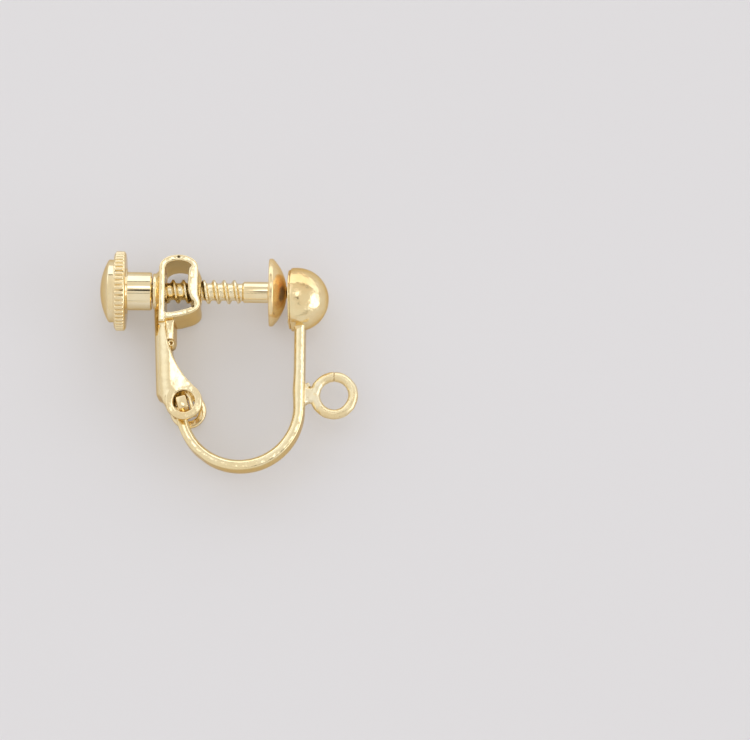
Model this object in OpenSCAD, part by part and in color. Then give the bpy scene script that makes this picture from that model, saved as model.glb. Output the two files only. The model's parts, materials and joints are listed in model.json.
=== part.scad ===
// Clip-on screw earring with a half-ball front and a drop ring, lying on its side.
// Each piece is drawn in the earring's own frame and then laid to rest. In that frame
// the origin is on the hinge axis midway between the ears, X points to the ball,
// Y along the lever to the arch, and Z across the flat wire.

/* [Wire frame] */
// Hinge axis to the middle of the straight arm
arm_x = 7.4; // [7.35:0.05:7.6]
// Radius of the bottom bend, at the middle of the wire
bend_r = 3.84; // [3.7:0.02:3.9]
// Height of the bend's centre
bend_y = -0.16; // [-0.2:0.01:-0.1]
// Thickness of the flat wire
wire_t = 0.7; // [0.6:0.01:0.74]
// Width of the flat wire
wire_w = 1.6; // [1.3:0.05:1.7]
// Radius of the wire's edges on the outside of the bend
wire_edge_r = 0.1; // [0.06:0.01:0.16]
// Radius of the wire's rounded edges on the inside of the bend
wire_round_r = 0.34; // [0.2:0.01:0.4]
// Thickness of the hinge bar
bar_t = 0.66; // [0.56:0.01:0.68]
// Height of the hinge bar
bar_h = 0.84; // [0.7:0.01:0.86]
// Length of the hinge bar, through both ears
bar_l = 3.4; // [3.2:0.05:3.46]
// Lean of the hinge bar, in degrees
bar_lean = 16; // [10:1:20]

/* [Front] */
// Radius of the half ball
ball_r = 2.1; // [2:0.01:2.14]
// Middle of the ball along X
ball_x = 7.16; // [7.12:0.01:7.2]
// Middle of the ball along Y
ball_y = 7.12; // [7:0.02:7.2]
// Radius of the thin back plate
plate_r = 1.95; // [1.8:0.01:2]
// Thickness of the thin back plate
plate_t = 0.14; // [0.1:0.01:0.2]
// Back of the plate along X, where the lobe is gripped
plate_x = 6.66; // [6.66:0.01:6.7]

/* [Drop ring] */
// Middle of the ring along X
ring_x = 9.68; // [9.64:0.01:9.74]
// Middle of the ring along Y
ring_y = 0.7; // [0.5:0.01:0.9]
// Radius of the ring's hole
ring_hole_r = 0.92; // [0.88:0.01:0.95]
// Diameter of the ring's round wire
ring_wire = 0.65; // [0.6:0.01:0.7]
// Width of the ring's butt joint
ring_joint = 0.04; // [0.03:0.01:0.1]
// Height of the solder between the ring and the arm
solder_h = 1.5; // [1.2:0.05:1.6]

/* [Lever] */
// Thickness of the loop's sheet
loop_t = 0.4; // [0.36:0.01:0.42]
// Width of the loop's sheet
loop_w = 4.0; // [3.8:0.05:4.2]
// Middle of the upright's sheet along X
upright_x = -1.64; // [-1.68:0.01:-1.6]
// Middle of the right side's sheet along X
side_x = 0.5; // [0.48:0.01:0.54]
// Top of the arch, at the middle of the sheet
arch_y = 9.52; // [9.4:0.02:9.6]
// Turn of the loop and its screw about the lever's length, in degrees
loop_turn = 3; // [0:1:4]
// Width of the channel outside
channel_w = 3.5; // [3.4:0.02:3.6]
// Thickness of the channel's sheet
channel_t = 0.38; // [0.34:0.01:0.4]
// Radius of the channel's rounded corners outside
channel_corner_r = 1.05; // [0.9:0.05:1.15]
// Back of the channel along X, halfway up
channel_back_x = -2.0; // [-2.04:0.01:-1.96]
// Lean of the channel's back, in degrees
channel_lean = 2.5; // [1:0.5:3]
// Radius of the hinge ears
ear_r = 1.2; // [1.15:0.01:1.25]
// Radius of the ears' holes
ear_hole_r = 0.72; // [0.72:0.01:0.76]
// Width of the tail
tail_w = 2.5; // [2.4:0.05:2.6]
// Lower end of the tail
tail_y = 4.2; // [4.1:0.05:4.3]
// Thickness of the leaf spring
leaf_t = 0.2; // [0.18:0.01:0.2]
// Width of the leaf spring
leaf_w = 2.0; // [1.8:0.05:2.1]

/* [Screw] */
// Height of the screw's axis
screw_y = 7.66; // [7.64:0.01:7.7]
// Radius of the thread's crests
crest_r = 0.785; // [0.76:0.005:0.79]
// Radius of the thread's roots
root_r = 0.56; // [0.52:0.01:0.6]
// Travel of the screw in one turn
pitch = 0.667; // [0.6:0.001:0.7]
// Right end of the thread along X
thread_end_x = 3.62; // [3.5:0.02:3.7]
// Radius of the plain shank
shank_r = 0.69; // [0.66:0.01:0.7]
// Clearance of a running fit
fit_gap = 0.05; // [0.04:0.01:0.06]

/* [Knob] */
// Radius of the knurled rim, over the ridges
rim_r = 2.62; // [2.5:0.01:2.7]
// Left face of the knurled rim along X
rim_left_x = -4.82; // [-4.9:0.01:-4.7]
// Right face of the knurled rim along X
rim_right_x = -4.06; // [-4.15:0.01:-3.9]
// Number of ridges on the rim
ridges = 48; // [40:1:52]
// Depth of the grooves between the ridges
ridge_h = 0.13; // [0.08:0.01:0.18]
// Radius of the domed face
face_r = 2.06; // [1.9:0.01:2.2]
// Edge of the domed face along X
face_x = -5.2; // [-5.25:0.01:-5.1]
// Top of the domed face along X
dome_x = -5.77; // [-5.8:0.01:-5.6]
// Radius of the collar
collar_r = 1.25; // [1.15:0.01:1.3]
// End of the collar along X
collar_x = -2.36; // [-2.4:0.01:-2.34]

/* [Pad] */
// Radius of the pad's rim
pad_r = 2.23; // [2.1:0.01:2.28]
// Left edge of the pad's rim along X
pad_back_x = 5.31; // [5.25:0.01:5.4]
// Right edge of the pad's rim along X
pad_rim_x = 5.57; // [5.5:0.01:5.64]
// Top of the pad's dome along X
pad_top_x = 6.49; // [6.4:0.01:6.52]
// Thickness of the pad's sheet
pad_t = 0.33; // [0.28:0.01:0.36]

/* [Hidden] */
$fn = 64;
gold = [0.90, 0.78, 0.50];

// Small overlap that joins solids of one piece, its finer one between faces that meet
// flush, and the reach of a cut past a face
bite = 0.05;
fine_bite = 0.001;
reach = 6;
bend_x = arm_x - bend_r;
arm_top_y = ball_y + 1;
ring_flat = 0.025;
ring_mid_r = ring_hole_r + ring_wire / 2 - ring_flat;
bore_r = crest_r + fit_gap;

// Hinge bar's middle, seen along the hinge axis, and the rounding of its long edges
bar_at = [-0.13, -0.05];
bar_edge_r = 0.06;

// Resting plane z = c + p x + q (y - screw_y): it touches the knob's rim, the pad's rim
// and the far ear. Its slopes p along the screw and q across it settle in a few rounds.
rim_low = rim_right_x * [cos(loop_turn), -sin(loop_turn)];
pad_low = pad_rim_x * [cos(loop_turn), -sin(loop_turn)];
function dip(p, q) = norm([cos(loop_turn) - p * sin(loop_turn), q]);
function rest_c(p, q) = rim_low[1] - p * rim_low[0] - rim_r * dip(p, q);
function rest_slopes(p, q, rounds) =
    rounds == 0 ? [p, q] :
    rest_slopes(
        (pad_low[1] - rim_low[1] + (rim_r - pad_r) * dip(p, q)) / (pad_low[0] - rim_low[0]),
        (channel_w / 2 + rest_c(p, q) + ear_r * norm([p, q])) / screw_y,
        rounds - 1);
rest = rest_slopes(0, 0, 8);
lean_y = atan2(-rest[1], 1);
lean_x = atan2(rest[0], norm([1, rest[1]]));
hinge_height = (-rest_c(rest[0], rest[1]) + rest[1] * screw_y) / norm([1, rest[0], rest[1]]);

// Middle of the resting part, seen from above
left_x = dome_x * cos(lean_x + loop_turn) + sin(lean_x) * sin(lean_y) * screw_y;
right_x = (ring_x + ring_mid_r + ring_wire / 2) * cos(lean_x);
low_y = (bend_y - bend_r - wire_t / 2) * cos(lean_y) - sin(lean_y) * wire_w / 2;
high_y = screw_y * cos(lean_y) + rim_left_x * sin(loop_turn) * sin(lean_y) + rim_r;
middle = [(left_x + right_x) / 2, (low_y + high_y) / 2];

// Strip of sheet of thickness t along a path, as an outline
function heading(path, i) =
    let (a = path[max(i - 1, 0)], b = path[min(i + 1, len(path) - 1)])
    (b - a) / norm(b - a);
function edge(path, t, side) =
    [for (i = [0:len(path) - 1])
        let (d = heading(path, i))
        path[i] + side * t / 2 * [-d[1], d[0]]];
function flipped(list) = [for (i = [len(list) - 1:-1:0]) list[i]];
function strip(path, t) = concat(edge(path, t, 1), flipped(edge(path, t, -1)));

// Smooth curve from a to c, drawn toward b
function curve(a, b, c, steps) =
    [for (i = [0:steps])
        let (t = i / steps)
        (1 - t) * (1 - t) * a + 2 * t * (1 - t) * b + t * t * c];

// Quarter of an ellipse about a centre, from one angle to another
function arc(centre, half, from, to, steps) =
    [for (i = [0:steps])
        let (a = from + (to - from) * i / steps)
        centre + [half[0] * cos(a), half[1] * sin(a)]];

// The loop's sheet: upright, arch, right side and curved return
arch_mid = (upright_x + side_x) / 2;
arch_spring_y = arch_y - 0.64;
loop_path = concat(
    [[upright_x, 5.25], [upright_x, 7]],
    arc([arch_mid, arch_spring_y], [side_x - arch_mid, arch_y - arch_spring_y], 180, 0, 16),
    [[side_x, 7.45], [side_x + 0.02, 7.05]],
    curve([side_x + 0.1, 6.8], [side_x + 0.4, 6.2], [0.1, 5.94], 5),
    [[-0.45, 5.79], [-0.95, 5.7], [-1.4, 5.66]]);

// The right side is thicker round the screw
side_inner_x = side_x - loop_t / 2;
side_lens_from_screw = [[bite, 1.3], [-0.18, 1.22], [-0.24, 0.7], [-0.255, 0.1], [-0.22, -0.4], [-0.1, -0.75], [bite, -1]];
side_lens = [for (p = side_lens_from_screw) [side_inner_x, screw_y] + p];

// Ends, waist and radii of the two raised eyes, on the upright and on the right side
left_eye_x = -2.29;
left_eye_waist_x = -2.12;
left_eye_r = [1.2, 1.15, 1.5];
right_eye_x = 0.9;
right_eye_r = [1.5, 0.88];

// The tail folds down on the upright's inner face and holds the leaf in a slot
tail_x = [-1.34, -0.78];
tail_side = [[-1.5, 5.7], [tail_x[0], 5.2], [tail_x[0], tail_y], [tail_x[1], tail_y], [tail_x[1], 5.6]];
leaf_x = -1.1;
leaf_gap = 0.03;
leaf_held = 0.9;
leaf_path = concat(
    [[leaf_x, tail_y + leaf_held], [leaf_x, tail_y]],
    curve([-1.09, 3.7], [-0.85, 2.3], [0.254, 0.497], 6),
    [[0.53, -0.46]]);

// Levels along the channel: where its lean turns, the end of its hollow, and its top
channel_mid_y = 3.2;
hollow_y = 5.7;
channel_top_y = 8;

// The channel's outline from the side, without its round ears
ear_meet = ear_r * [cos(45), sin(45)];
channel_side = concat(
    [[-1.5, 6.7], [-1.75, 6.7], [-2.2, 6.15], [-2.2, 0.62], [-1.8, 0.49], [-1.62, 0.44]],
    [[-1.47, 0.25], [-1.36, -0.05], [-0.95, -0.5], [0.7, 0.6]],
    flipped(curve([-1.14, 4.1], [-0.62, 2.1], ear_meet, 12)),
    [[-1.3, 4.9], [-1.3, 5.6]]);

// A row of points round the thread at x: the crest climbs right-handed
thread_sides = 24;
thread_x = -2.25;
rows_per_turn = 8;
thread_rows = ceil((thread_end_x + bite - thread_x) / pitch * rows_per_turn);
thread_step = (thread_end_x + bite - thread_x) / thread_rows;
crest_phase = 1.665;
function crest(u) = pow((1 + cos(360 * u)) / 2, 1.6);
function fade(x) = max(0, min(1, (x - thread_x) / 0.3, (thread_end_x + bite - x) / 0.4));
function thread_r(x, angle) =
    root_r + (crest_r - root_r) * crest((x - crest_phase) / pitch - angle / 360) * fade(x);
thread_points = concat(
    [for (i = [0:thread_rows])
        for (k = [0:thread_sides - 1])
            let (x = thread_x + i * thread_step, a = 360 * k / thread_sides, r = thread_r(x, a))
            [x, r * cos(a), r * sin(a)]],
    [[thread_x, 0, 0], [thread_end_x + bite, 0, 0]]);
function around(i, k) = i * thread_sides + (k % thread_sides);
thread_faces = concat(
    [for (i = [0:thread_rows - 1])
        for (k = [0:thread_sides - 1])
            each [[around(i, k), around(i + 1, k), around(i, k + 1)],
                  [around(i, k + 1), around(i + 1, k), around(i + 1, k + 1)]]],
    [for (k = [0:thread_sides - 1])
        [(thread_rows + 1) * thread_sides, around(0, k), around(0, k + 1)]],
    [for (k = [0:thread_sides - 1])
        [(thread_rows + 1) * thread_sides + 1, around(thread_rows, k + 1), around(thread_rows, k)]]);

module at_rest() {
    translate([-middle[0], -middle[1], hinge_height])
        rotate([lean_y, lean_x, 0])
            children();
}

module rounded_bar(w, h, r) {
    square([w - 2 * r, h], center = true);
    square([w, h - 2 * r], center = true);
    for (x = [-1, 1], y = [-1, 1])
        translate([x * (w / 2 - r), y * (h / 2 - r)])
            circle(r = r);
}

// The loop and everything on its screw are turned a little from the wire frame
module turned() {
    rotate([0, loop_turn, 0])
        children();
}

// Round bar along X from x1 to x2, on the screw's axis
module on_screw(x1, x2, r) {
    translate([x1, screw_y, 0])
        rotate([0, 90, 0])
            cylinder(r = r, h = x2 - x1);
}

// Cone or chamfer along X, on the screw's axis
module taper_on_screw(x1, x2, r1, r2) {
    translate([x1, screw_y, 0])
        rotate([0, 90, 0])
            cylinder(r1 = r1, r2 = r2, h = x2 - x1);
}

// Section of the wire: nearly flat outside, rounded inside
module wire_section() {
    out = wire_t / 2 - wire_edge_r;
    in = wire_round_r - wire_t / 2;
    translate([in, -wire_w / 2])
        square([out - in, wire_w]);
    translate([out - bite, wire_edge_r - wire_w / 2])
        square([wire_edge_r + bite, wire_w - 2 * wire_edge_r]);
    translate([-wire_t / 2, wire_round_r - wire_w / 2])
        square([wire_round_r + bite, wire_w - 2 * wire_round_r]);
    for (y = [-1, 1]) {
        translate([out, y * (wire_w / 2 - wire_edge_r)])
            circle(r = wire_edge_r);
        translate([in, y * (wire_w / 2 - wire_round_r)])
            circle(r = wire_round_r);
    }
}

module flat_wire() {
    translate([arm_x, arm_top_y, 0])
        rotate([90, 0, 0])
            linear_extrude(arm_top_y - bend_y + fine_bite)
                wire_section();
    translate([bend_x, bend_y, 0])
        rotate([0, 0, 180])
            rotate_extrude(angle = 180)
                translate([bend_r, 0])
                    wire_section();
}

module hinge_bar() {
    translate([bar_at[0], bar_at[1], 0])
        rotate([0, 0, bar_lean])
            linear_extrude(bar_l, center = true)
                rounded_bar(bar_t, bar_h, bar_edge_r);
}

module half_ball() {
    ball_cut_x = plate_x + plate_t - bite / 2;
    intersection() {
        translate([ball_x, ball_y, 0])
            sphere(r = ball_r);
        translate([ball_cut_x, ball_y - reach / 2, -reach / 2])
            cube(reach);
    }
    translate([plate_x, ball_y, 0])
        rotate([0, 90, 0])
            cylinder(r = plate_r, h = plate_t);
}

module drop_ring() {
    translate([ring_x, ring_y, 0])
        difference() {
            rotate_extrude()
                translate([ring_mid_r, 0])
                    circle(r = ring_wire / 2);
            cylinder(r = ring_hole_r, h = reach, center = true);
            translate([-ring_joint / 2, 0, -reach / 2])
                cube([ring_joint, reach, reach]);
        }
}

// Solder fillet between the arm and the ring, drawn in at its waist
module solder() {
    thickness = 0.56;
    start_x = arm_x + wire_t / 2 - bite;
    end_x = ring_x - ring_mid_r;
    end_h = solder_h / 2.4;
    waist = [start_x + 0.35, 0.4];
    translate([0, ring_y, 0])
        linear_extrude(thickness, center = true)
            polygon(concat(
                curve([start_x, solder_h / 2], waist, [end_x, end_h], 5),
                curve([end_x, -end_h], [waist[0], -waist[1]], [start_x, -solder_h / 2], 5)));
}

module channel_section(inset) {
    r = channel_corner_r - inset;
    half = channel_w / 2 - inset;
    translate([inset + r, -half])
        square([reach, 2 * half]);
    translate([inset, -half + r])
        square([2 * r, 2 * (half - r)]);
    for (y = [-1, 1])
        translate([inset + r, y * (half - r)])
            circle(r = r);
}

module channel_bar(inset, y1, y2) {
    translate([channel_back_x, channel_mid_y, 0])
        rotate([0, 0, channel_lean])
            translate([0, y2 - channel_mid_y, 0])
                rotate([90, 0, 0])
                    linear_extrude(y2 - y1)
                        channel_section(inset);
}

module channel() {
    difference() {
        intersection() {
            channel_bar(0, -reach, channel_top_y);
            linear_extrude(reach, center = true)
                polygon(channel_side);
        }
        channel_bar(channel_t, -reach - 1, hollow_y);
    }
}

// Round ears at the channel's end, one on each flank
module ears() {
    for (z = [-channel_w / 2, channel_w / 2 - channel_t])
        translate([0, 0, z])
            cylinder(r = ear_r, h = channel_t);
}

// Raised eyes that the screw runs through, one on the upright and one on the right side
module eyes() {
    upright_face_x = upright_x - loop_t / 2 + bite;
    taper_on_screw(left_eye_x, left_eye_waist_x, left_eye_r[0], left_eye_r[1]);
    taper_on_screw(left_eye_waist_x, upright_face_x, left_eye_r[1], left_eye_r[2]);
    taper_on_screw(side_x + loop_t / 2 - bite, right_eye_x, right_eye_r[0], right_eye_r[1]);
}

module loop() {
    linear_extrude(loop_w, center = true)
        union() {
            polygon(strip(loop_path, loop_t));
            polygon(side_lens);
        }
}

module tail() {
    difference() {
        linear_extrude(tail_w, center = true)
            polygon(tail_side);
        translate([leaf_x - leaf_t / 2 - leaf_gap, tail_y - 1, -leaf_w / 2 - fit_gap])
            cube([leaf_t + 2 * leaf_gap, 1 + leaf_held + fit_gap, leaf_w + 2 * fit_gap]);
    }
}

module ear_frame() {
    color(gold)
        at_rest() {
            flat_wire();
            hinge_bar();
            half_ball();
            drop_ring();
            solder();
        }
}

module lever() {
    color(gold)
        at_rest()
            difference() {
                union() {
                    channel();
                    ears();
                    tail();
                    turned() {
                        loop();
                        eyes();
                    }
                }
                turned()
                    on_screw(left_eye_x - 0.1, right_eye_x + 0.1, bore_r);
                cylinder(r = ear_hole_r, h = reach, center = true);
            }
}

module spring_leaf() {
    color(gold)
        at_rest()
            linear_extrude(leaf_w, center = true)
                polygon(strip(leaf_path, leaf_t));
}

// The rod's left end is a spigot in the knob. Its tip is peened over in the pad's
// countersink, just below the pad's dome.
spigot_r = 0.5;
spigot_x = -4.1;
press_gap = 0.04;
neck_r = 0.33;
head_r = 0.48;
head_h = 0.18;
head_x = pad_top_x - 0.14;
pad_play = 0.03;
pad_dome_h = pad_top_x - pad_rim_x;
pad_dome_r = (pad_r * pad_r + pad_dome_h * pad_dome_h) / (2 * pad_dome_h);
shoulder_x = pad_top_x - pad_dome_r - pad_play + sqrt(pow(pad_dome_r - pad_t, 2) - shank_r * shank_r);
shank_x = thread_end_x + 0.04;
module screw_rod() {
    color(gold)
        at_rest() turned() {
            translate([0, screw_y, 0])
                polyhedron(thread_points, thread_faces, convexity = 10);
            on_screw(spigot_x, thread_x + bite, spigot_r);
            taper_on_screw(thread_end_x - 0.08, shank_x, root_r - 0.1, shank_r);
            on_screw(shank_x, shoulder_x, shank_r);
            on_screw(shoulder_x - bite, head_x + bite, neck_r);
            taper_on_screw(head_x, head_x + head_h, head_r, head_r - 0.14);
        }
}

module knurled_disc() {
    steps = 6; // points along each ridge
    outline = [for (i = [0:ridges * steps - 1])
        let (a = 360 * i / (ridges * steps))
        let (r = rim_r - ridge_h / 2 + ridge_h / 2 * cos(ridges * a))
        r * [cos(a), sin(a)]];
    translate([rim_left_x, screw_y, 0])
        rotate([0, 90, 0])
            linear_extrude(rim_right_x - rim_left_x)
                polygon(outline);
}

module thumb_knob() {
    dome_h = face_x - dome_x;
    dome_r = (face_r * face_r + dome_h * dome_h) / (2 * dome_h);
    flange_r = 2.3;
    flange_h = 0.08;
    chamfer = 0.08;
    color(gold)
        at_rest() turned()
            difference() {
                union() {
                    intersection() {
                        translate([dome_x + dome_r, screw_y, 0])
                            sphere(r = dome_r, $fn = 128);
                        on_screw(dome_x - 1, rim_left_x + bite, face_r);
                    }
                    knurled_disc();
                    taper_on_screw(rim_right_x - bite, rim_right_x + flange_h, flange_r, flange_r - flange_h);
                    on_screw(rim_right_x, collar_x - chamfer, collar_r);
                    taper_on_screw(collar_x - chamfer, collar_x, collar_r, collar_r - chamfer);
                }
                on_screw(spigot_x - press_gap, collar_x + 1, spigot_r + press_gap);
            }
}

// Dished sheet turned about the screw's axis, with a countersunk hole for the tip
module clamp_pad() {
    hole_r = neck_r + pad_play;
    sink_r = head_r + 0.04;
    color(gold)
        at_rest() turned()
            translate([pad_top_x - pad_dome_r, screw_y, 0])
                rotate([0, 90, 0])
                    rotate_extrude()
                        difference() {
                            intersection() {
                                circle(r = pad_dome_r, $fn = 128);
                                translate([hole_r, pad_back_x - pad_top_x + pad_dome_r])
                                    square([pad_r - hole_r, reach]);
                            }
                            circle(r = pad_dome_r - pad_t, $fn = 128);
                            translate([0, pad_dome_r + head_x - pad_play - pad_top_x])
                                square([sink_r, 1]);
                        }
}

ear_frame();
lever();
spring_leaf();
screw_rod();
thumb_knob();
clamp_pad();
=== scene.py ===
"""Clip-on screw earring in pale gold plating over brass, lying on its side."""

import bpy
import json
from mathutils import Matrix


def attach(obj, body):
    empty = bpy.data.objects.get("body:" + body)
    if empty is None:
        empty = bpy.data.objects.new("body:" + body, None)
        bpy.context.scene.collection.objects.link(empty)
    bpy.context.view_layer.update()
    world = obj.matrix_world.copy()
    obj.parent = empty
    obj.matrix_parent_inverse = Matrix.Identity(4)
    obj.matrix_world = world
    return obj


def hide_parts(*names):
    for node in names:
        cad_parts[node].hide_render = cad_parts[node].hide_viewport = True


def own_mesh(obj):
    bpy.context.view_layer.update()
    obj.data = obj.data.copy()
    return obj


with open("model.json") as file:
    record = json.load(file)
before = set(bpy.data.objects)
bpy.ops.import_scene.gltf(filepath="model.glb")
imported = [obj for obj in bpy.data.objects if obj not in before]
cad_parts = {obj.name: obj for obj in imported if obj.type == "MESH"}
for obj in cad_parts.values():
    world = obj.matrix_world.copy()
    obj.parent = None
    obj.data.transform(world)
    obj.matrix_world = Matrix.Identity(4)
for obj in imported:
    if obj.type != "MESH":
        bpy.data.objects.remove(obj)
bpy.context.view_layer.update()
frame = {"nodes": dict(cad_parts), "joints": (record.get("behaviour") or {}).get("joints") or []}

import json
import math

import bmesh
import bpy
import numpy as np
from mathutils import Matrix, Vector, noise

noise.seed_set(4)  # otherwise the clock sets it, and each run is a little different

# ---------------------------------------------------------------- the earring's own frame
# Every shape is drawn in millimetres with the hinge axis at the origin, X to the ball, Y along
# the lever and Z across the flat wire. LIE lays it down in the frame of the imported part. What
# turns on the screw's axis is drawn along X too, and SCREW_LIE turns it with the lever's loop.
joints = {joint["name"]: joint for joint in frame["joints"]}
across = Vector(joints["lever_hinge"]["axis"]).normalized()
screw_axis = Vector(joints["pad_slide"]["axis"]).normalized()
upward = across.cross(screw_axis).normalized()
along = upward.cross(across)
turned = Matrix((along, upward, across)).transposed()
hinge = Vector(joints["lever_hinge"]["pos_m"])
LIE = Matrix.Translation(hinge) @ turned.to_4x4() @ Matrix.Scale(0.001, 4)
SCREW_LIE = LIE @ Matrix.Rotation(along.angle(screw_axis), 4, "Y")

# Sizes in millimetres, as in the part's source. What ends in _X lies along the screw, and a pair
# or row of them runs from the knob's end to the ball's.
ARM_X = 7.4
ARM_TOP = 8.05
BEND_R = 3.84
BEND_Y = -0.16
WIRE_T = 0.7
WIRE_W = 1.6
BAR_AT = (-0.13, -0.05)
BAR = (0.66, 0.84, 3.4)
BAR_LEAN = math.radians(16)
BALL_R = 2.1
BALL_AT = (7.16, 7.12)
PLATE_R = 1.95
PLATE_X = (6.66, 6.77)
RING_AT = (9.68, 0.7)
RING_R = 1.245
RING_WIRE_R = 0.325
SCREW_Y = 7.66
CREST_R = 0.785
ROOT_R = 0.56
PITCH = 0.667
THREAD_X = (-2.25, 3.67)
CREST_X = 1.665
SHANK_R = 0.69
SHANK_X = (3.5, 3.68, 6.04, 6.35, 6.53)
TIP_R = (0.33, 0.47)
SPIGOT_R = 0.5
SPIGOT_X = (-4.1, -2.2)
RIM_R = 2.62
RIDGE_H = 0.12
RIDGES = 48
RIM_X = (-4.82, -4.06)
FACE_R = 2.06
FACE_X = -5.2
DOME_X = -5.77
COLLAR_R = 1.25
COLLAR_X = -2.36
SOCKET_R = 0.54
SOCKET_X = -4.14
PAD_R = 2.23
PAD_X = (5.31, 5.57, 6.49)
PAD_T = 0.33
PAD_HOLE_R = 0.36
PAD_HOLE_X = 6.32
TAIL_Y = 4.2
LEAF_X = -1.1
LEAF_T = 0.2
LEAF_W = 2.0

# Wear and handwork on the lever, in the same millimetres
PRESS_MARKS = ((-0.465, 9.56, 0.19, 0.07, 0), (0.513, 6.264, 0.15, 0.07, 40))
PRESS_DEPTH = 0.12
FLANK_SKEW = 0.09
FLANK_TOP = 5.2
ROLLED_END = (-0.97, 3.97)

# Solder from the arm to the ring, and the fillet below the ball. Each row is a section: how far
# it reaches to the right and to the left of its path, and half its width.
RING_WEB_X = (7.6, 7.85, 8.05, 8.25, 8.5)
RING_WEB = ((0.74, 0.7, 0.5), (0.6, 0.56, 0.42), (0.5, 0.46, 0.36), (0.54, 0.52, 0.32),
            (0.64, 0.66, 0.28))
BALL_FILLET = ((0.36, 0.36, 0.8), (0.37, 0.37, 0.81), (0.39, 0.38, 0.83), (0.43, 0.41, 0.86),
               (0.49, 0.46, 0.9), (0.56, 0.53, 0.95), (0.63, 0.61, 1.0), (0.7, 0.7, 1.06))

ON_AXIS = 1e-6  # a radius this small is a pole
END_SHARES = (0.4, 0.8, 1.0)  # steps in which a ribbon's end is drawn in
CROWN_STEPS = 8
CROWN_OFF = 0.35  # how far a crown's top lies from the middle of its side, as a share of its half


# ---------------------------------------------------------------- shapes
def filleted(corners, steps=5):
    """Corners are (x, r) or (x, r, radius): each radius rounds its corner with an arc."""
    line = []
    for i, corner in enumerate(corners):
        here = Vector(corner[:2])
        radius = corner[2] if len(corner) > 2 else 0
        if not radius:
            line.append(here)
            continue
        back = (Vector(corners[i - 1][:2]) - here).normalized()
        ahead = (Vector(corners[i + 1][:2]) - here).normalized()
        half = back.angle(ahead) / 2
        reach = radius / math.tan(half)
        centre = here + (back + ahead).normalized() * radius / math.sin(half)
        start = here + back * reach - centre
        end = here + ahead * reach - centre
        sweep = start.angle_signed(end)
        for k in range(steps + 1):
            line.append(centre + Matrix.Rotation(-sweep * k / steps, 2) @ start)
    return [tuple(p) for p in line]


def lathe(profile, axis_y, sides=128):
    """Turns (x, radius) points round the line along X at axis_y. A radius of 0 is a closed pole."""
    points, rings = [], []
    for x, r in profile:
        if r < ON_AXIS:
            rings.append([len(points)])
            points.append((x, axis_y, 0))
        else:
            rings.append(list(range(len(points), len(points) + sides)))
            points += [(x, axis_y + r * math.cos(2 * math.pi * k / sides),
                        r * math.sin(2 * math.pi * k / sides)) for k in range(sides)]
    faces = []
    for a, b in zip(rings, rings[1:]):
        for k in range(sides):
            n = (k + 1) % sides
            ring = [a[k % len(a)], b[k % len(b)], b[n % len(b)], a[n % len(a)]]
            faces.append(list(dict.fromkeys(ring)))
    return points, faces


def cap_radius(rim_r, height):
    """Radius of the sphere whose cap has this rim and height."""
    return (rim_r ** 2 + height ** 2) / (2 * height)


def sphere_line(centre_x, radius, r_from, r_to, side, steps=24):
    """Profile points on a sphere, from one distance off the axis to another."""
    a, b = math.asin(r_from / radius), math.asin(r_to / radius)
    return [(centre_x + side * radius * math.cos(a + (b - a) * k / steps),
             radius * math.sin(a + (b - a) * k / steps)) for k in range(steps + 1)]


def rounded_section(low, high, half_w, radius, steps=5, high_radius=None, crown=0.0):
    """Outline of a flat wire's section: low to high across the sheet, half_w to each side.
    high_radius rounds the high side's corners otherwise than the low side's. A crown lets the
    narrow sides bulge, as rolling leaves them."""
    low_r = min(radius, (high - low) / 2 - 1e-3)
    high_r = low_r if high_radius is None else high_radius
    corners = []
    for cx, cz, start, r in ((high - high_r, half_w - high_r, 0, high_r),
                             (low + low_r, half_w - low_r, 90, low_r),
                             (low + low_r, low_r - half_w, 180, low_r),
                             (high - high_r, high_r - half_w, 270, high_r)):
        turns = (math.radians(start + 90 * k / steps) for k in range(steps + 1))
        corners.append([(cx + r * math.cos(a), cz + r * math.sin(a)) for a in turns])
    if not crown:
        return sum(corners, [])
    bridges = []
    for a, b in ((corners[0][-1], corners[1][0]), (corners[2][-1], corners[3][0])):
        bridges.append([(a[0] + (b[0] - a[0]) * k / CROWN_STEPS, a[1])
                        for k in range(1, CROWN_STEPS)])
    outline = corners[0] + bridges[0] + corners[1] + corners[2] + bridges[1] + corners[3]
    middle, reach = (low + high) / 2, (high - low) / 2
    return [(a, z - math.copysign(crown * ((a - middle) / reach - CROWN_OFF) ** 2, z))
            for a, z in outline]


def even_section(low, high, half_w, radius):
    """A section that stays the same all along its ribbon."""
    return lambda i: rounded_section(low, high, half_w, radius)


def changing_section(rows, radius):
    """A section that follows rows of (reach to the right, reach to the left, half width)."""
    return lambda i: rounded_section(-rows[i][0], rows[i][1], rows[i][2], radius)


def bridged(rings):
    """Faces between neighbouring rings of points, with both ends closed."""
    faces = []
    for a, b in zip(rings, rings[1:]):
        faces += [[a[k], b[k], b[(k + 1) % len(b)], a[(k + 1) % len(a)]] for k in range(len(a))]
    return faces + [list(rings[0])[::-1], list(rings[-1])]


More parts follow.
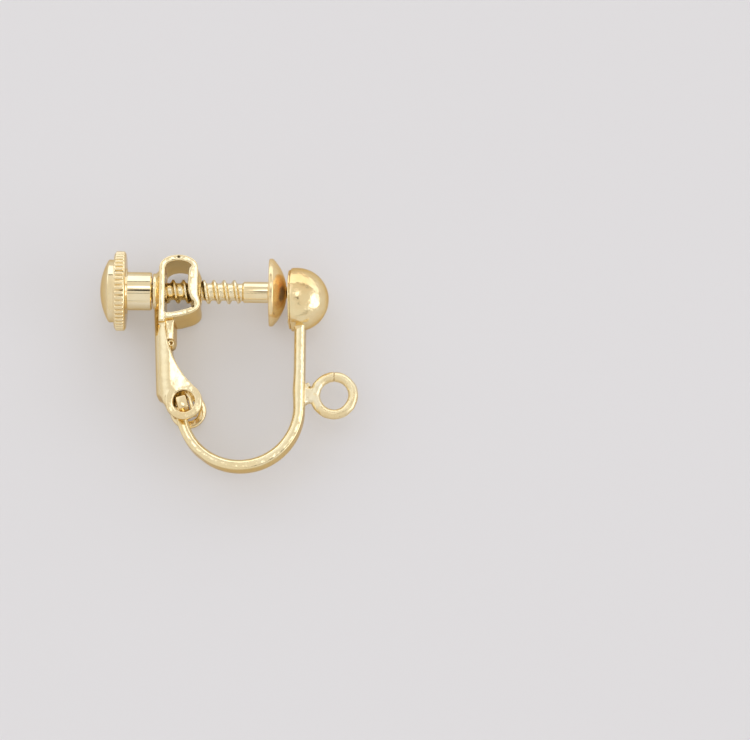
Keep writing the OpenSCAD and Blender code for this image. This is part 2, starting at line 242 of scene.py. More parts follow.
def ribbon(path, section, round_ends=0.0):
    """Sweeps a section along a path of (x, y) points. section(i) gives its outline at a point as
    (left of the path, across) pairs; round_ends draws the section in at both ends."""
    path = [Vector(p) for p in path]
    last_i = len(path) - 1
    stations = []
    for i, p in enumerate(path):
        heading = (path[min(i + 1, last_i)] - path[max(i - 1, 0)]).normalized()
        stations.append((p, heading, 0.0, i))
    if round_ends:
        first, last = stations[0], stations[-1]
        for share in END_SHARES:
            out = round_ends * math.sin(share * math.pi / 2)
            drawn_in = (1 - math.cos(share * math.pi / 2)) * round_ends
            stations.insert(0, (first[0] - first[1] * out, first[1], drawn_in, 0))
            stations.append((last[0] + last[1] * out, last[1], drawn_in, last_i))
    points, rings = [], []
    for p, heading, drawn_in, i in stations:
        left = Vector((-heading.y, heading.x))
        outline = section(i)
        mid = sum(a for a, z in outline) / len(outline)
        rings.append(range(len(points), len(points) + len(outline)))
        for a, z in outline:
            a -= math.copysign(min(drawn_in, abs(a - mid)), a - mid)
            z -= math.copysign(min(drawn_in, abs(z)), z)
            at = p + left * a
            points.append((at.x, at.y, z))
    return points, bridged(rings)


def curve(a, b, c, steps):
    """Smooth curve from a to c, drawn toward b."""
    return [tuple((1 - t) ** 2 * Vector(a) + 2 * t * (1 - t) * Vector(b) + t * t * Vector(c))
            for t in (k / steps for k in range(steps + 1))]


def evened(path, spacing):
    """The same path with evenly spaced points."""
    path = np.array(path, float)
    steps = np.linalg.norm(np.diff(path, axis=0), axis=1)
    lengths = np.concatenate([[0], np.cumsum(steps)])
    at = np.linspace(0, lengths[-1], max(2, int(lengths[-1] / spacing) + 1))
    return [(np.interp(s, lengths, path[:, 0]), np.interp(s, lengths, path[:, 1])) for s in at]


def eased(path, rounds):
    """Rounds a path's corners by averaging neighbours."""
    path = np.array(path, float)
    for _ in range(rounds):
        path[1:-1] = (path[:-2] + 2 * path[1:-1] + path[2:]) / 4
    return [tuple(p) for p in path]


def joined(*solids):
    """Several solids as one list of points and faces."""
    points, faces = [], []
    for some_points, some_faces in solids:
        faces += [[i + len(points) for i in face] for face in some_faces]
        points += some_points
    return points, faces


def wavy(points, depth, size, seed):
    """Hand polishing leaves a surface a little wavy: moves each point by up to depth."""
    moved = []
    for p in points:
        v = Vector(p)
        moved.append(tuple(v + noise.noise_vector(v / size + Vector((seed, 0, 0))) * depth))
    return moved


def bump(at, middle, reach, height):
    """A smooth swelling: height at its middle, and nearly gone at twice its reach."""
    return height * math.exp(-((at - middle) / reach) ** 2)


# ---------------------------------------------------------------- objects
def new_object(name, points, faces):
    mesh = bpy.data.meshes.new(name)
    mesh.from_pydata(points, [], faces)
    thing = bpy.data.objects.new(name, mesh)
    bpy.context.scene.collection.objects.link(thing)
    return thing


def outward(mesh, merge=1e-4):
    """Merges doubled points and turns every face outward."""
    bm = bmesh.new()
    bm.from_mesh(mesh)
    bmesh.ops.remove_doubles(bm, verts=bm.verts, dist=merge)
    bmesh.ops.dissolve_degenerate(bm, edges=bm.edges, dist=1e-6)
    bmesh.ops.recalc_face_normals(bm, faces=bm.faces)
    bm.to_mesh(mesh)
    bm.free()


def applied(thing):
    """Turns an object's live modifiers into a plain mesh."""
    graph = bpy.context.evaluated_depsgraph_get()
    plain = bpy.data.meshes.new_from_object(thing.evaluated_get(graph))
    thing.modifiers.clear()
    thing.data = plain
    return thing


def remeshed(thing, voxel, rounds):
    """Blends touching solids into one skin and softens its edges, as solder and tumbling do."""
    grid = thing.modifiers.new("skin", "REMESH")
    grid.mode = "VOXEL"
    grid.voxel_size = voxel
    soft = thing.modifiers.new("soften", "SMOOTH")
    soft.factor = 0.5
    soft.iterations = rounds
    return applied(thing)


def finish_piece(thing, body, material, stands_for=()):
    """Lays the piece down, gives it its finish and fixes it to its body."""
    thing.data.transform(SCREW_LIE if body in ("screw", "pad") else LIE)
    thing.data.materials.clear()
    thing.data.materials.append(material)
    thing.data.polygons.foreach_set("use_smooth", [True] * len(thing.data.polygons))
    thing.data.update()
    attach(thing, body)
    if stands_for:
        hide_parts(*stands_for)
    return thing


def piece(name, solid, body, material, stands_for=()):
    """A finished piece from its (points, faces)."""
    thing = new_object(name, *solid)
    outward(thing.data)
    return finish_piece(thing, body, material, stands_for)


# ---------------------------------------------------------------- finishes
def linear(hex_colour):
    """A colour from its sRGB hex value."""
    parts = [int(hex_colour[i:i + 2], 16) / 255 for i in (1, 3, 5)]
    return [c / 12.92 if c <= 0.04045 else ((c + 0.055) / 1.055) ** 2.4 for c in parts] + [1.0]


def add(tree, kind, inputs=(), **settings):
    """Adds a node with its settings, and sets or links its inputs."""
    made = tree.nodes.new(kind)
    for key, value in settings.items():
        setattr(made, key, value)
    for key, value in dict(inputs).items():
        if isinstance(value, bpy.types.NodeSocket):
            tree.links.new(value, made.inputs[key])
        else:
            made.inputs[key].default_value = value
    return made


def arithmetic(tree, operation, *values):
    """One step of arithmetic on sockets or numbers."""
    made = add(tree, "ShaderNodeMath", dict(enumerate(values)), operation=operation)
    return made.outputs[0]


def blended(tree, share, none, full):
    """A mix of two colours, or of a colour socket and a colour: none at share 0, full at 1."""
    mix = add(tree, "ShaderNodeMix", {"Factor": share}, data_type="RGBA")
    for socket, value in ((mix.inputs[6], none), (mix.inputs[7], full)):
        if isinstance(value, str):
            socket.default_value = linear(value)
        else:
            tree.links.new(value, socket)
    return mix.outputs[2]


def per_mm(size):
    """Texture scale for a pattern that repeats about every size millimetres."""
    return 1000.0 / size


DRIFT_MM = 2.2
# Colour of the dark reflection painted at the lever's press marks, and the reach in metres over
# which it fades out
PAINTED_DARK_REFLECTION = "#5E4A2A"
PAINTED_DARK_REFLECTION_REACH_M = (0.00007, 0.00015)
EDGE_TINT = "#EBD6AC"


def plating(name, pale, deep, roughness, grain, grain_height, drag=(1, 1, 1),
            ripple=(0.9, 0.012), metal=1.0, painted_dark_reflections=()):
    """Gold plating over brass: colour drifts between two tones, a fine grain breaks up the gloss,
    and ripple (size, height) is the waviness that polishing leaves. drag stretches the grain
    along the direction of drawing, turning or polishing. The last argument gives places where a
    dark reflection is painted into the colour. grain and ripple are in millimetres."""
    material = bpy.data.materials.new(name)
    material.use_nodes = True
    tree = material.node_tree
    tree.nodes.clear()
    place = add(tree, "ShaderNodeTexCoord").outputs["Object"]
    tone = add(tree, "ShaderNodeTexNoise",
               {"Vector": place, "Scale": per_mm(DRIFT_MM), "Detail": 3.0})
    drift = add(tree, "ShaderNodeMapRange",
                {"Value": tone.outputs["Fac"], "From Min": 0.32, "From Max": 0.68})
    tint = blended(tree, drift.outputs["Result"], pale, deep)
    # Painted dark reflection: the colour turns dark round each place given
    for at in painted_dark_reflections:
        off = add(tree, "ShaderNodeVectorMath", {0: place, 1: tuple(LIE @ Vector(at))},
                  operation="DISTANCE")
        painted_reflection_spot = add(tree, "ShaderNodeMapRange",
                   {"Value": off.outputs["Value"], "From Min": PAINTED_DARK_REFLECTION_REACH_M[0],
                    "From Max": PAINTED_DARK_REFLECTION_REACH_M[1], "To Min": 1.0, "To Max": 0.0})
        tint = blended(tree, painted_reflection_spot.outputs["Result"], tint, PAINTED_DARK_REFLECTION)
    dragged = add(tree, "ShaderNodeMapping", {"Vector": place, "Scale": drag})
    marks = add(tree, "ShaderNodeTexNoise",
                {"Vector": dragged.outputs["Vector"], "Scale": per_mm(grain), "Detail": 4.0,
                 "Roughness": 0.6})
    gloss = add(tree, "ShaderNodeMapRange",
                {"Value": marks.outputs["Fac"], "From Min": 0.3, "From Max": 0.7,
                 "To Min": roughness * 0.75, "To Max": roughness * 1.35})
    waves = add(tree, "ShaderNodeTexNoise",
                {"Vector": place, "Scale": per_mm(ripple[0]), "Detail": 2.0, "Roughness": 0.4})
    rippled = add(tree, "ShaderNodeBump",
                  {"Height": waves.outputs["Fac"], "Strength": 1.0, "Distance": ripple[1] / 1000})
    relief = add(tree, "ShaderNodeBump",
                 {"Height": marks.outputs["Fac"], "Strength": 0.5,
                  "Distance": grain_height / 1000, "Normal": rippled.outputs["Normal"]})
    shader = add(tree, "ShaderNodeBsdfPrincipled",
                 {"Base Color": tint, "Metallic": metal, "Roughness": gloss.outputs["Result"],
                  "Specular Tint": linear(EDGE_TINT), "Normal": relief.outputs["Normal"]})
    add(tree, "ShaderNodeOutputMaterial", {"Surface": shader.outputs["BSDF"]})
    return material


# Barrel-polished plating: near-mirror, with only a faint haze of polishing scratches
polished = plating("polished_gold_plating", "#FAE8B8", "#F0CA8A", 0.15, 0.12, 0.012,
                   ripple=(0.5, 0.05))
# Plating over stamped sheet: glossy, with draw marks along the lever
SHEET = ("#FBEBC1", "#F6DFAC", 0.11, 0.10, 0.005, (1, 0.25, 1), (0.55, 0.03))
stamped = plating("stamped_sheet_gold_plating", *SHEET)
# Plating over lathe-turned brass: fine rings round the screw's axis
turned_plating = plating("turned_gold_plating", "#FBEDC8", "#F6DEAA", 0.08, 0.07, 0.002,
                         (3, 0.3, 0.3), (1.0, 0.004))
# Plating over a cut thread: a rougher skin that glitters
cut_thread = plating("cut_thread_gold_plating", "#FCF2D4", "#F6E5BA", 0.24, 0.14, 0.012)
# Plating over drawn wire: glossy and a little wavy
drawn_wire = plating("drawn_wire_gold_plating", "#FBECC2", "#F5DFAA", 0.13, 0.11, 0.005,
                     ripple=(0.5, 0.03))
# Plating over etched, annealed wire: frosty
frosted = plating("frosted_gold_plating", "#F9E9BE", "#F3DCAA", 0.30, 0.13, 0.014,
                  ripple=(0.35, 0.02))
# Plated solder: a frosty, lumpy whitish skin
solder_skin = plating("plated_solder", "#FBF1D4", "#EFDDB0", 0.34, 0.14, 0.02)
# The pad's thicker plating, left satin and amber where polishing did not reach
pad_plating = plating("pad_gold_plating", "#F9E3B4", "#F1D198", 0.16, 0.12, 0.004,
                      ripple=(0.8, 0.05), metal=0.8)

# ---------------------------------------------------------------- flat-wire frame
ARM_STEP = 0.15
ARM_POINTS = 55
BEND_STEP = math.radians(1.5)
BEND_POINTS = 121


def arm_path():
    """Down the straight arm and round the bottom bend to the hinge bar."""
    centre_x = ARM_X - BEND_R
    path = [(ARM_X, ARM_TOP - k * ARM_STEP) for k in range(ARM_POINTS)]
    path += [(centre_x + BEND_R * math.cos(a), BEND_Y - BEND_R * math.sin(a))
             for a in (k * BEND_STEP for k in range(BEND_POINTS))]
    return path


def arm_section(i):
    """Nearly flat outside and rounded inside. It is pressed a little wider inward by the solder,
    and nipped where the bending pin held it near the hinge."""
    pressed = bump(ARM_TOP - i * ARM_STEP, 1.0, 0.7, 0.05)
    nipped = bump(i, 140, 3.0, 0.03)
    return rounded_section(-WIRE_T / 2 - pressed, WIRE_T / 2 - nipped, WIRE_W / 2, 0.3, 8, 0.09,
                           0.05)


def half_ball():
    """The ball's front, with a fine step between it and the thin plate at its back."""
    x, axis_y = BALL_AT
    step_x, edge_x, dome_x = 6.82, 6.84, 6.86
    step_r, dome_steps = 1.86, 56

    def ball_r(at):
        return math.sqrt(BALL_R ** 2 - (x - at) ** 2)

    back = filleted([(PLATE_X[0], 0), (PLATE_X[0], PLATE_R, 0.05), (PLATE_X[1], PLATE_R, 0.03),
                     (PLATE_X[1], step_r), (step_x, step_r), (step_x, ball_r(edge_x) - 0.02, 0.02),
                     (dome_x, ball_r(dome_x))])
    widest = math.acos((dome_x - x) / BALL_R)
    dome = [(x + BALL_R * math.cos(a), BALL_R * math.sin(a))
            for a in (widest * (1 - k / dome_steps) for k in range(1, dome_steps))]
    return lathe(back + dome + [(x + BALL_R, 0)], axis_y)


def hinge_bar():
    """A squared bar through both ears, its ends peened down a little."""
    w, h, length = BAR
    peened = ((0.0, 0.07), (0.03, 0.02), (0.08, 0.0))  # how far from the end, and how far in
    stations = [(-length / 2 + off, inset) for off, inset in peened] + [(-0.9, 0.0), (0.9, 0.0)]
    stations += [(length / 2 - off, inset) for off, inset in peened[::-1]]
    points, rings = [], []
    for z, inset in stations:
        outline = rounded_section(-w / 2 + inset, w / 2 - inset, h / 2 - inset, 0.09)
        rings.append(range(len(points), len(points) + len(outline)))
        for a, b in outline:
            x = BAR_AT[0] + a * math.cos(BAR_LEAN) - b * math.sin(BAR_LEAN)
            y = BAR_AT[1] + a * math.sin(BAR_LEAN) + b * math.cos(BAR_LEAN)
            points.append((x, y, z))
    return points, bridged(rings)


def ring_arc(radius, start, end, steps, sides=32, bevel=0.0):
    """Part of the drop ring's round wire, from one angle in degrees to another, with flat ends.
    A bevel takes that share off the wire's radius at both ends."""
    start, end = math.radians(start), math.radians(end)
    step = (end - start) / steps
    stations = [(start + step * i, 1.0) for i in range(steps + 1)]
    if bevel:
        inner = stations[1:-1]
        stations = [(start, 1 - bevel), (start + step * 0.4, 1.0)] + inner
        stations += [(end - step * 0.4, 1.0), (end, 1 - bevel)]
    points, rings = [], []
    for a, close in stations:
        rings.append(range(len(points), len(points) + sides))
        for k in range(sides):
            b = 2 * math.pi * k / sides
            r = RING_R + radius * close * math.cos(b)
            points.append((RING_AT[0] + r * math.cos(a), RING_AT[1] + r * math.sin(a),
                           radius * close * math.sin(b)))
    return points, bridged(rings)


def ring_solder():
    """Solder flowed between the arm and the ring, drawn thin over both."""
    skin = 0.03
    on_arm = ribbon([(ARM_X, RING_AT[1] + 0.95 - k * 0.1) for k in range(19)],
                    even_section(0.0, WIRE_T / 2 + skin, WIRE_W / 2 - 0.2, 0.12))
    on_ring = ring_arc(RING_WIRE_R + skin / 2, 138, 222, 20)
    web = ribbon([(x, RING_AT[1]) for x in RING_WEB_X], changing_section(RING_WEB, 0.2))
    shoulder = ribbon([(7.62, 1.22), (7.85, 1.3), (8.1, 1.42)],
                      even_section(-0.15, 0.15, 0.3, 0.12))
    return joined(on_arm, on_ring, web, shoulder)


def ball_solder():
    """Solder that fills the corner where the arm runs into the half ball."""
    return ribbon([(ARM_X - 0.02 * k, 5.02 + 0.09 * k) for k in range(len(BALL_FILLET))],
                  changing_section(BALL_FILLET, 0.3))


piece("frame_wire", ribbon(arm_path(), arm_section), "frame", drawn_wire,
      stands_for=["ear_frame"])
piece("frame_hinge_bar", hinge_bar(), "frame", stamped)
points, faces = half_ball()
piece("half_ball", (wavy(points, 0.03, 1.3, 3.0), faces), "frame", polished)
points, faces = ring_arc(RING_WIRE_R, 90.7, 449.3, 180, bevel=0.1)
piece("drop_ring", (wavy(points, 0.025, 0.5, 8.0), faces), "frame", frosted)
for name, solid, skin in (("ring_solder", ring_solder(), solder_skin),
                          ("ball_solder", ball_solder(), polished)):
    lump = new_object(name, *solid)
    outward(lump.data)
    remeshed(lump, 0.035, 8)
    lumpy = wavy([v.co for v in lump.data.vertices], 0.02, 0.25, 5.0)
    lump.data.vertices.foreach_set("co", np.array(lumpy).ravel())
    finish_piece(lump, "frame", skin)


# ---------------------------------------------------------------- lever
def softened_node(name, node, voxel, rounds):
    """The node's own solid, with its stamped edges rounded off."""
    thing = new_object(name, [], [])
    thing.data = frame["nodes"][node].data.copy()
    thing.data.transform(LIE.inverted())
    outward(thing.data, 1e-3)
    return remeshed(thing, voxel, rounds)


def skewed_flank(thing):
    """Presses the near flank a little out of square, but not where it meets ear and tail."""
    for v in thing.data.vertices:
        if v.co.z > 1.0 and v.co.y < FLANK_TOP:
            past_ear = min(1.0, max(0.0, (v.co.y - 0.2) / 1.5))
            below_tail = min(1.0, (FLANK_TOP - v.co.y) / 0.8)
            v.co.z -= FLANK_SKEW * (v.co.x + 0.6) * past_ear * below_tail


def dented(thing, x, y, half_x, half_y, turn):
    """A press mark in the lever's near edge. Returns its middle."""
    c, d = math.cos(math.radians(turn)), math.sin(math.radians(turn))
    for v in thing.data.vertices:
        if v.co.z > 1.4:
            a = (v.co.x - x) * c + (v.co.y - y) * d
            b = (v.co.y - y) * c - (v.co.x - x) * d
            v.co.z -= PRESS_DEPTH * math.exp(-(a / half_x) ** 2 - (b / half_y) ** 2)
    near = [v.co for v in thing.data.vertices if v.co.z > 1.2]
    return min(near, key=lambda co: (co.x - x) ** 2 + (co.y - y) ** 2).copy()


def leaf_path():
    """Down inside the tail and slantwise to the hinge bar."""
    path = [(LEAF_X, TAIL_Y + 0.9), (LEAF_X, TAIL_Y)]
    path += curve((-1.09, 3.7), (-0.85, 2.3), (0.254, 0.497), 12) + [(0.53, -0.46)]
    return eased(evened(path, 0.08), 4)


def tube(centre, outer, inner, low, high, sides=40):
    """A short open tube along Z, its outer edges broken."""
    edge = 0.03
    line = [(outer - edge, high), (outer, high - edge), (outer, low + edge), (outer - edge, low),
            (inner, low), (inner, high)]
    points, faces = [], []
    for k in range(sides):
        a = 2 * math.pi * k / sides
        points += [(centre[0] + r * math.cos(a), centre[1] + r * math.sin(a), z) for r, z in line]
    n = len(line)
    for k in range(sides):
        m = (k + 1) % sides
        faces += [[k * n + i, k * n + (i + 1) % n, m * n + (i + 1) % n, m * n + i]
                  for i in range(n)]
    return points, faces


lever = softened_node("lever_sheet", "lever", 0.05, 10)
skewed_flank(lever)
press_marks = [dented(lever, *mark) for mark in PRESS_MARKS]
# The same stamped sheet, with a dark reflection painted into its colour at the two press marks
painted_reflection_sheet = plating("sheet_gold_plating_with_painted_dark_reflections", *SHEET, painted_dark_reflections=press_marks)
finish_piece(lever, "lever", painted_reflection_sheet, ["lever"])
piece("rolled_tail_end", tube(ROLLED_END, 0.22, 0.13, -0.3, 1.22), "lever", stamped)
leaf_section = even_section(-LEAF_T / 2, LEAF_T / 2, LEAF_W / 2, 0.06)
leaf = piece("leaf_spring", ribbon(leaf_path(), leaf_section, 0.05), "lever", stamped,
             stands_for=["spring_leaf"])
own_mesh(leaf)


# ---------------------------------------------------------------- Geometry Nodes
class Tree:
    """A Geometry Nodes tree with named sizes, which ends in Realize Instances and Set Material."""

    def __init__(self, name, sizes):
        self.group = bpy.data.node_groups.new(name, "GeometryNodeTree")
        face = self.group.interface
        face.new_socket("Geometry", in_out="OUTPUT", socket_type="NodeSocketGeometry")
        for label, value in sizes.items():
            kind = "NodeSocketInt" if isinstance(value, int) else "NodeSocketFloat"
            face.new_socket(label, in_out="INPUT", socket_type=kind).default_value = value
        self.sizes = self.group.nodes.new("NodeGroupInput").outputs

    def add(self, kind, inputs=(), **settings):
        return add(self.group, kind, inputs, **settings)

    def sum(self, operation, *values):
        return arithmetic(self.group, operation, *values)

    def grid(self, across_x, across_y):
        """A flat grid one unit wide each way, and its points' X and Y."""
        mesh = self.add("GeometryNodeMeshGrid", {"Size X": 1.0, "Size Y": 1.0,
                                                 "Vertices X": across_x, "Vertices Y": across_y})
        position = self.add("GeometryNodeInputPosition").outputs[0]
        place = self.add("ShaderNodeSeparateXYZ", {"Vector": position}).outputs
        return mesh.outputs["Mesh"], place["X"], place["Y"]

    def moved(self, mesh, x, y, z):
        """The mesh with each point put where the three sockets say."""
        at = self.add("ShaderNodeCombineXYZ", {"X": x, "Y": y, "Z": z}).outputs["Vector"]
        set_node = self.add("GeometryNodeSetPosition", {"Geometry": mesh, "Position": at})
        return set_node.outputs["Geometry"]

    def build(self, name, geometry, material):
        """Runs the tree and returns its result as a plain mesh object."""
        real = self.add("GeometryNodeRealizeInstances", {"Geometry": geometry})
        coat = self.add("GeometryNodeSetMaterial",
                        {"Geometry": real.outputs["Geometry"], "Material": material})
        self.add("NodeGroupOutput", {"Geometry": coat.outputs["Geometry"]})
        thing = new_object(name, [], [])
        thing.modifiers.new(name, "NODES").node_group = self.group
        return applied(thing)


# ---------------------------------------------------------------- screw
def thread_tree():
    """A grid wrapped round the axis, its radius rising and falling once in each pitch."""
    run_in, run_out = 0.05, 0.07  # shares of the length over which the thread fades
    pole = 0.0005  # share of the length at each end that closes on the axis
    tree = Tree("screw_thread", {"Pitch": PITCH, "Root radius": ROOT_R, "Crest radius": CREST_R,
                                 "Start": THREAD_X[0], "Length": THREAD_X[1] - THREAD_X[0],
                                 "Crest at": CREST_X, "Rows": 320, "Sides": 73})
    total, size = tree.sum, tree.sizes
    mesh, grid_x, grid_y = tree.grid(size["Rows"], size["Sides"])
    share = total("ADD", grid_x, 0.5)
    x = total("MULTIPLY_ADD", share, size["Length"], size["Start"])
    angle = total("MULTIPLY", total("ADD", grid_y, 0.5), 2 * math.pi)
    turns = total("DIVIDE", total("SUBTRACT", x, size["Crest at"]), size["Pitch"])
    phase = total("SUBTRACT", total("MULTIPLY", turns, 2 * math.pi), angle)
    wave = total("MULTIPLY_ADD", total("COSINE", phase), 0.5, 0.5)
    peaked = total("MULTIPLY", total("POWER", wave, 3.0), 1.25)
    flattened = total("MINIMUM", peaked, 1.0)
    starts = total("MINIMUM", total("DIVIDE", share, run_in), 1.0)
    ends = total("MINIMUM", total("DIVIDE", total("SUBTRACT", 1.0, share), run_out), 1.0)
    height = total("MULTIPLY", total("MULTIPLY", flattened, starts), ends)
    depth = total("SUBTRACT", size["Crest radius"], size["Root radius"])
    radius = total("MULTIPLY_ADD", height, depth, size["Root radius"])
    open_part = total("MULTIPLY", total("GREATER_THAN", share, pole),
                      total("LESS_THAN", share, 1 - pole))
    radius = total("MULTIPLY", radius, open_part)
    y = total("MULTIPLY_ADD", radius, total("COSINE", angle), SCREW_Y)
    z = total("MULTIPLY", radius, total("SINE", angle))
    sewn = tree.add("GeometryNodeMergeByDistance",
                    {"Geometry": tree.moved(mesh, x, y, z), "Distance": 0.001})
    return tree, sewn.outputs["Geometry"]


tree, geometry = thread_tree()
thread = tree.build("screw_thread", geometry, cut_thread)
outward(thread.data)
finish_piece(thread, "screw", cut_thread, ["screw_rod"])

# Plain shank, shoulder and peened tip, and the spigot inside the knob
shank = filleted([(SHANK_X[0], 0), (SHANK_X[0], 0.5), (SHANK_X[1], SHANK_R, 0.05),
                  (SHANK_X[2], SHANK_R, 0.03), (SHANK_X[2], TIP_R[0]), (SHANK_X[3], TIP_R[0]),
                  (SHANK_X[3], TIP_R[1], 0.02), (SHANK_X[4] - 0.09, TIP_R[1], 0.06),
                  (SHANK_X[4] - 0.01, 0.30, 0.05), (SHANK_X[4], 0)])
spigot = [(SPIGOT_X[0], 0), (SPIGOT_X[0], SPIGOT_R - 0.04), (SPIGOT_X[0] + 0.04, SPIGOT_R),
          (SPIGOT_X[1], SPIGOT_R), (SPIGOT_X[1], 0)]
piece("screw_shank", lathe(shank, SCREW_Y), "screw", turned_plating)
piece("screw_spigot", lathe(spigot, SCREW_Y, 64), "screw", turned_plating)

# ---------------------------------------------------------------- knob
dome_r = cap_radius(FACE_R, FACE_X - DOME_X)
groove_r = RIM_R - RIDGE_H
back_x = RIM_X[1] + 0.09
chamfer = 0.08
knob = sphere_line(DOME_X + dome_r, dome_r, 0, FACE_R - 0.06, -1)
knob += filleted([(FACE_X - 0.02, FACE_R - 0.05), (FACE_X + 0.03, FACE_R, 0.06),
                  (RIM_X[0], FACE_R, 0.04), (RIM_X[0], groove_r, 0.1), (RIM_X[1], groove_r, 0.1),
                  (RIM_X[1], 1.52, 0.03), (back_x, 1.46, 0.04), (back_x, COLLAR_R, 0.04),
                  (COLLAR_X - chamfer, COLLAR_R, 0.02), (COLLAR_X, COLLAR_R - chamfer, 0.02),
                  (COLLAR_X, SOCKET_R), (SOCKET_X, SOCKET_R), (SOCKET_X, 0)])
piece("knob_body", lathe(knob, SCREW_Y, 160), "screw", turned_plating, stands_for=["thumb_knob"])


def ridge_tree():
    """One beaded ridge, set round the rim as often as the knurling wheel cut it."""
    beads, bead_depth = 3, 0.05
    tree = Tree("knob_knurling", {"Ridges": RIDGES, "Rim radius": groove_r,
                                  "Ridge height": RIDGE_H, "Ridge width": 0.29,
                                  "Ridge length": RIM_X[1] - RIM_X[0] - 0.1})
    total, size = tree.sum, tree.sizes
    mesh, grid_x, grid_y = tree.grid(13, 8)
    angle = total("MULTIPLY", total("ADD", grid_y, 0.5), math.pi)
    from_middle = total("ABSOLUTE", total("MULTIPLY", grid_x, 2.0))
    fall = total("SUBTRACT", 1.0, total("POWER", from_middle, 5.0))
    rounded = total("POWER", total("MAXIMUM", fall, 0.0), 0.5)
    beading = total("COSINE", total("MULTIPLY", grid_x, beads * 2 * math.pi))
    body = total("MULTIPLY", rounded,
                 total("MULTIPLY_ADD", beading, bead_depth, 1 - bead_depth))
    half_width = total("MULTIPLY", size["Ridge width"], 0.5)
    x = total("MULTIPLY", grid_x, size["Ridge length"])
    y = total("MULTIPLY", total("MULTIPLY", total("COSINE", angle), half_width), body)
    z = total("MULTIPLY", total("MULTIPLY", total("SINE", angle), size["Ridge height"]), body)
    ridge = tree.moved(mesh, x, y, total("ADD", z, size["Rim radius"]))
    rim_middle = (0.5 * (RIM_X[0] + RIM_X[1]), SCREW_Y, 0)
    places = tree.add("GeometryNodePoints", {"Count": size["Ridges"], "Position": rim_middle})
    step = total("DIVIDE", 2 * math.pi, size["Ridges"])
    turn = total("MULTIPLY", tree.add("GeometryNodeInputIndex").outputs[0], step)
    turned_by = tree.add("ShaderNodeCombineXYZ", {"X": turn}).outputs["Vector"]
    placed = tree.add("GeometryNodeInstanceOnPoints",
                      {"Points": places.outputs[0], "Instance": ridge, "Rotation": turned_by})
    return tree, placed.outputs["Instances"]


tree, geometry = ridge_tree()
ridges = tree.build("knob_knurling", geometry, turned_plating)
finish_piece(ridges, "screw", turned_plating)

# ---------------------------------------------------------------- clamping pad
rim_from, rim_to, top_x = PAD_X
pad_dome_r = cap_radius(PAD_R, top_x - rim_to)
pad_centre = top_x - pad_dome_r
pad = [(PAD_HOLE_X, PAD_HOLE_R), (PAD_HOLE_X, 0.52)]
pad += sphere_line(pad_centre, pad_dome_r, 0.54, PAD_R - 0.05, 1, 40)
pad += filleted([(rim_to + 0.02, PAD_R - 0.02), (rim_to - 0.04, PAD_R, 0.06),
                 (rim_from, PAD_R, 0.08), (rim_from, 2.03, 0.03), (rim_from + 0.03, 2.0)])
pad += sphere_line(pad_centre, pad_dome_r - PAD_T, 1.97, PAD_HOLE_R, 1, 30)
pad += [(PAD_HOLE_X, PAD_HOLE_R)]
points, faces = lathe(pad, SCREW_Y, 144)
piece("clamp_pad", (wavy(points, 0.008, 1.2, 6.0), faces), "pad", pad_plating,
      stands_for=["clamp_pad"])

# ---------------------------------------------------------------- floor
FLOOR = 1.5
floor = new_object("studio_floor", [(-FLOOR, -FLOOR, 0), (FLOOR, -FLOOR, 0), (FLOOR, FLOOR, 0),
                                    (-FLOOR, FLOOR, 0)], [[0, 1, 2, 3]])
# White acrylic sheet: matt, with a little light coming through it from below
acrylic = bpy.data.materials.new("white_acrylic_sheet")
acrylic.use_nodes = True
sheet = acrylic.node_tree.nodes["Principled BSDF"].inputs
sheet["Base Color"].default_value = linear("#C7C4C4")
sheet["Roughness"].default_value = 0.9
sheet["Emission Color"].default_value = linear("#FFFDFB")
sheet["Emission Strength"].default_value = 0.18
floor.data.materials.append(acrylic)

# ---------------------------------------------------------------- camera
# LOOKING is the way to the camera in the earring's own frame. The photo is PHOTO pixels, and the
# hinge lies at HINGE_PX in it.
LOOKING = (0.093, -0.20, 1.0)
DISTANCE = 0.34
PHOTO = (750, 740)
HINGE_PX = (186.0, 406.2)
FOCAL_PX = 5200.0
SENSOR = 36.0

sight = (turned @ Vector(LOOKING)).normalized()
right = (along - sight * along.dot(sight)).normalized()
top = sight.cross(right)
to_hinge = Vector((HINGE_PX[0] - PHOTO[0] / 2, PHOTO[1] / 2 - HINGE_PX[1], -FOCAL_PX))
swing = to_hinge.rotation_difference(Vector((0, 0, -1))).to_matrix()
camera_data = bpy.data.cameras.new("photo_camera")
camera_data.sensor_width = SENSOR
camera_data.lens = FOCAL_PX / PHOTO[0] * SENSOR
camera_data.clip_start = 0.01
camera_data.clip_end = 10.0
camera = bpy.data.objects.new("photo_camera", camera_data)
bpy.context.scene.collection.objects.link(camera)
facing = Matrix((right, top, sight)).transposed() @ swing
camera.matrix_world = Matrix.Translation(hinge + sight * DISTANCE) @ facing.to_4x4()
bpy.context.scene.camera = camera

# ---------------------------------------------------------------- light tent
# A white tent, as the collar, the shank and the half ball reflect it: lamps, lit walls beyond the
# lever's arch and beyond the ring, the seams where they meet the roof, and the camera's own dark
# shape in its opening.
world = bpy.data.worlds.new("light_tent")
bpy.context.scene.world = world
world.use_nodes = True
sky = world.node_tree
sky.nodes.clear()
direction = add(sky, "ShaderNodeTexCoord").outputs["Generated"]


def toward(local):
    """How closely a ray points a given way in the earring's own frame: the angle's cosine."""
    way = (turned @ Vector(local)).normalized()
    return add(sky, "ShaderNodeVectorMath", {0: direction, 1: way},
               operation="DOT_PRODUCT").outputs["Value"]


def fade(value, low, high, start=0.0, end=1.0):
    return add(sky, "ShaderNodeMapRange", {"Value": value, "From Min": low, "From Max": high,
                                           "To Min": start, "To Max": end},
               interpolation_type="SMOOTHSTEP").outputs["Result"]


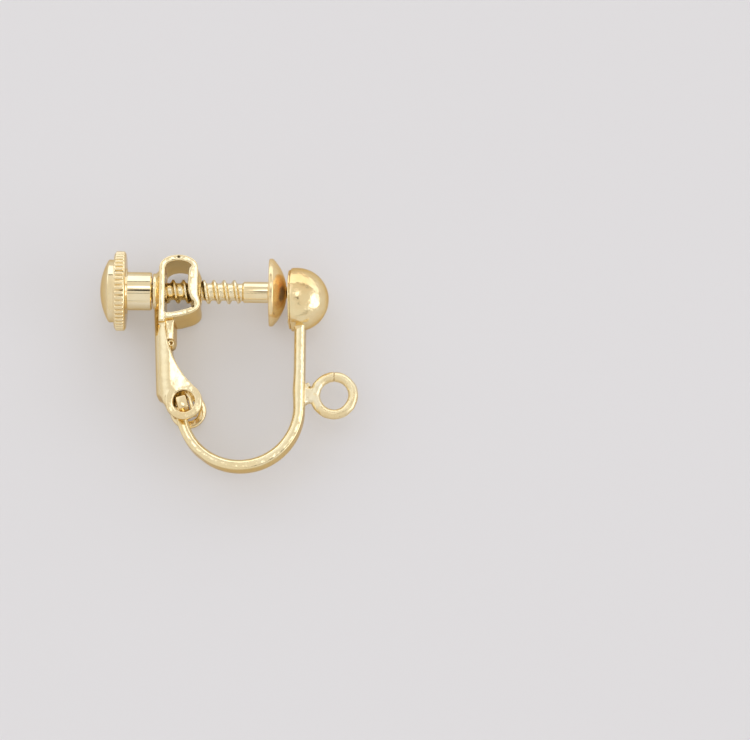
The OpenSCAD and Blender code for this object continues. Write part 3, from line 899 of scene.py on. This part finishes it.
def patch(local, inner, outer, amount=1.0):
    """A soft round patch: full inside one angle in degrees, gone outside the other."""
    return fade(toward(local), math.cos(math.radians(outer)), math.cos(math.radians(inner)),
                0.0, amount)


def plus(*values):
    return arithmetic(sky, "ADD", *values)


def times(*values):
    return arithmetic(sky, "MULTIPLY", *values)


def line(value, middle, half):
    """1 on a thin line where the value passes its middle, and 0 off it."""
    off = arithmetic(sky, "ABSOLUTE", arithmetic(sky, "SUBTRACT", value, middle))
    return fade(off, half * 0.5, half * 1.5, 1.0, 0.0)


def dimmed(light, mask, share):
    return times(light, arithmetic(sky, "SUBTRACT", 1.0, times(mask, share)))


LAMPS = (((-0.9, 0.7, 1), 10, 36, 0.36),  # broad and soft, to the upper left
         ((0.11, 0.23, 1), 4, 9, 1.3))  # small, where the face-on flats mirror it
TENT_LIGHT = (0.78, 0.86)  # at the tent's foot and overhead
WALL_LIGHT = 0.78
SIDE_LIGHT = 1.8
CAMERA_SHAPE = ((0.093, -0.105, 1.0), 4.6, 6.2)
OPENING = 13.2  # half angle of the tent's round opening, in degrees

x_way, y_way, z_way = toward((1, 0, 0)), toward((0, 1, 0)), toward((0, 0, 1))
light = fade(z_way, -0.1, 0.6, *TENT_LIGHT)
for lamp in LAMPS:
    light = plus(light, patch(*lamp))
wall_edge, beyond_arch = toward((0, 0.637, -0.771)), fade(y_way, 0.1, 0.5)
light = plus(light, times(times(fade(wall_edge, -0.02, 0.03), beyond_arch), WALL_LIGHT))
beyond_ring = times(fade(toward((0.574, 0, -0.819)), -0.08, 0.06),
                    patch((0.9, -0.22, 0.42), 12, 34))
light = plus(light, times(beyond_ring, SIDE_LIGHT))
light = dimmed(light, times(line(wall_edge, 0.0, 0.035), beyond_arch), 0.9)
lower_right = times(fade(x_way, 0.0, 0.15), fade(y_way, -0.1, 0.15, 1.0, 0.0))
light = dimmed(light, times(line(z_way, 0.28, 0.03), lower_right), 0.7)
rim = line(toward(LOOKING), math.cos(math.radians(OPENING)), 0.006)
light = dimmed(light, times(rim, fade(y_way, -0.40, -0.35, 1.0, 0.0)), 0.8)
light = dimmed(light, patch(*CAMERA_SHAPE), 0.97)
# Dim parts of the tent are a little warm and bright ones a little cool, as in the photo
warmth = blended(sky, fade(light, 0.5, 1.3), "#FFF6EA", "#F1F6FF")
tent = add(sky, "ShaderNodeBackground", {"Color": warmth, "Strength": light})
add(sky, "ShaderNodeOutputWorld", {"Surface": tent.outputs["Background"]})
bpy.context.scene.view_settings.view_transform = "Standard"
